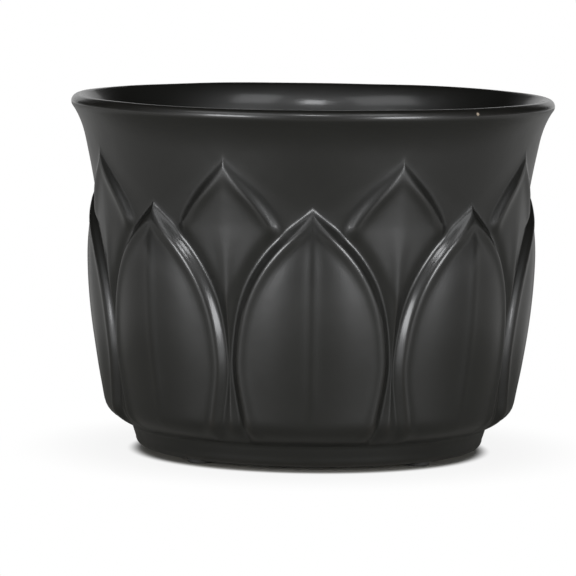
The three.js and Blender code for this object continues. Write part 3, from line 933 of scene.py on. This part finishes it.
def make_pale_floor():
    """White to the camera but for the shadow at the foot, and clear when it is seen from below.

    It glows only where the glaze mirrors it, lighting nothing: white well behind the pot, dim closer by, and
    a grey glow at the sides that paints lighter reflections on the pot's flanks.
    """
    material, tree, shader = new_material("pale_floor")
    shader.inputs["Base Color"].default_value = TABLE_COLOUR
    shader.inputs["Roughness"].default_value = TABLE_ROUGHNESS
    path = add_node(tree, "ShaderNodeLightPath").outputs
    where = object_coordinates(tree)
    away = measure(tree, "LENGTH", where)
    near = blend_values(tree, between(tree, away, *CONTACT_SHADOW), 0.0, SOFT_SHADOW_WHITE)
    clean = blend_values(tree, between(tree, away, *SOFT_SHADOW), near, 1.0)
    seen = reckon(tree, "MULTIPLY", path["Is Camera Ray"], clean)
    # Glow seen only in reflections, lighting nothing: the white background far off, and beside the pot a grey
    # glow that paints lighter reflections on its sides
    mirrored = reckon(tree, "ADD", path["Is Glossy Ray"], path["Is Transmission Ray"])
    behind = between(tree, measure(tree, "DISTANCE", where, DIM_MIDDLE), *DIM_EDGE)
    back = between(tree, along(tree, where, "Y"), *SIDE_DEPTH)
    grey = blend_values(tree, back, 0.0, SIDE_WHITE)
    beside = reckon(tree, "MULTIPLY", grey, between(tree, away, *SIDE_AWAY))
    lit = reckon(tree, "MAXIMUM", behind, beside)
    white = reckon(tree, "ADD", reckon(tree, "MULTIPLY", mirrored, lit), seen, use_clamp=True)
    glow = add_node(tree, "ShaderNodeEmission", {"Color": WHITE, "Strength": 1.0}).outputs["Emission"]
    table = blend_shaders(tree, white, shader.outputs["BSDF"], glow)
    below = add_node(tree, "ShaderNodeNewGeometry").outputs["Backfacing"]
    hidden = reckon(tree, "MULTIPLY", path["Is Camera Ray"], below)
    clear = add_node(tree, "ShaderNodeBsdfTransparent").outputs["BSDF"]
    surface = blend_shaders(tree, hidden, table, clear)
    tree.links.new(surface, tree.nodes["Material Output"].inputs["Surface"])
    return material


# Stage


def aim(thing, place, target, roll=0.0):
    """Puts a camera or a lamp at a place and turns it to a target."""
    thing.location = place
    turn = (target - place).to_track_quat("-Z", "Y")
    thing.rotation_euler = (turn.to_matrix() @ Euler((0, 0, roll)).to_matrix()).to_euler()


def add_camera():
    """The camera at the photograph's angle: nearly level, far off and turned slightly about its own axis."""
    camera = bpy.data.objects.new("camera", bpy.data.cameras.new("camera"))
    camera.data.lens = CAMERA_LENS
    camera.data.sensor_width = CAMERA_SENSOR
    camera.data.clip_end = CAMERA_REACH
    ahead = Vector((0, math.cos(CAMERA_PITCH), -math.sin(CAMERA_PITCH)))
    aim(camera, CAMERA_PLACE, CAMERA_PLACE + ahead, roll=CAMERA_ROLL)
    bpy.context.scene.collection.objects.link(camera)
    bpy.context.scene.camera = camera


def add_softbox(name, turn, rise, distance, width, height, power):
    """An area lamp at an angle round from the front and an angle above the floor, in degrees."""
    round_from_front, above = math.radians(turn), math.radians(rise)
    way = Vector((
        math.sin(round_from_front) * math.cos(above),
        -math.cos(round_from_front) * math.cos(above),
        math.sin(above),
    ))
    light = bpy.data.lights.new(name, "AREA")
    light.shape = "RECTANGLE"
    light.size, light.size_y = width, height
    light.energy = power
    light.color = LAMP_COLOUR
    lamp = bpy.data.objects.new(name, light)
    aim(lamp, LAMP_TARGET + way * distance, LAMP_TARGET)
    bpy.context.scene.collection.objects.link(lamp)


def add_floor():
    """A pale table that runs into a white sweep behind the pot, and keeps the pot's shadow."""
    deselect()
    bpy.ops.mesh.primitive_plane_add(size=1, location=(0, 0, 0))
    floor = new_piece("floor")
    floor.scale = (TABLE_SIZE, TABLE_SIZE, 1)
    floor.location = (0, TABLE_BACK, 0)
    bpy.ops.object.transform_apply(location=True, rotation=True, scale=True)
    bpy.ops.object.mode_set(mode="EDIT")
    bpy.ops.mesh.select_all(action="DESELECT")
    bpy.ops.object.mode_set(mode="OBJECT")
    for vertex in floor.data.vertices:
        vertex.select = vertex.co.y > 0
    bpy.ops.object.mode_set(mode="EDIT")
    bpy.ops.mesh.extrude_region_move(TRANSFORM_OT_translate={"value": (0, 0, SWEEP_HEIGHT)})
    bpy.ops.object.mode_set(mode="OBJECT")
    floor.data.materials.append(make_pale_floor())


def add_lights():
    """A world that is white only to the camera, a key lamp, and a low and a high panel at either side."""
    world = bpy.data.worlds.new("studio")
    bpy.context.scene.world = world
    world.use_nodes = True
    tree = world.node_tree
    background = tree.nodes["Background"]
    background.inputs["Color"].default_value = WHITE
    seen = add_node(tree, "ShaderNodeLightPath").outputs["Is Camera Ray"]
    tree.links.new(blend_values(tree, seen, WORLD_LIGHT, 1.0), background.inputs["Strength"])
    add_softbox("key_lamp", turn=-1, rise=40, distance=1.5, width=0.27, height=0.22, power=4.2)
    add_softbox("left_panel", turn=-40, rise=7, distance=1.4, width=0.5, height=0.42, power=11)
    add_softbox("left_high", turn=-48, rise=45, distance=1.4, width=0.8, height=0.5, power=3.4)
    add_softbox("right_panel", turn=40, rise=7, distance=1.4, width=0.5, height=0.42, power=11)
    add_softbox("right_high", turn=38, rise=45, distance=1.4, width=0.5, height=0.5, power=2.8)


add_camera()
add_floor()
add_lights()

black_rubber = make_rubber()
make_pot().data.materials.append(make_glaze())
make_plug().data.materials.append(black_rubber)
screen = make_screen()
screen.data.materials.clear()
screen.data.materials.append(make_plastic())
for pad in make_pads():
    pad.data.materials.append(black_rubber)

bpy.context.scene.view_settings.view_transform = "Standard"
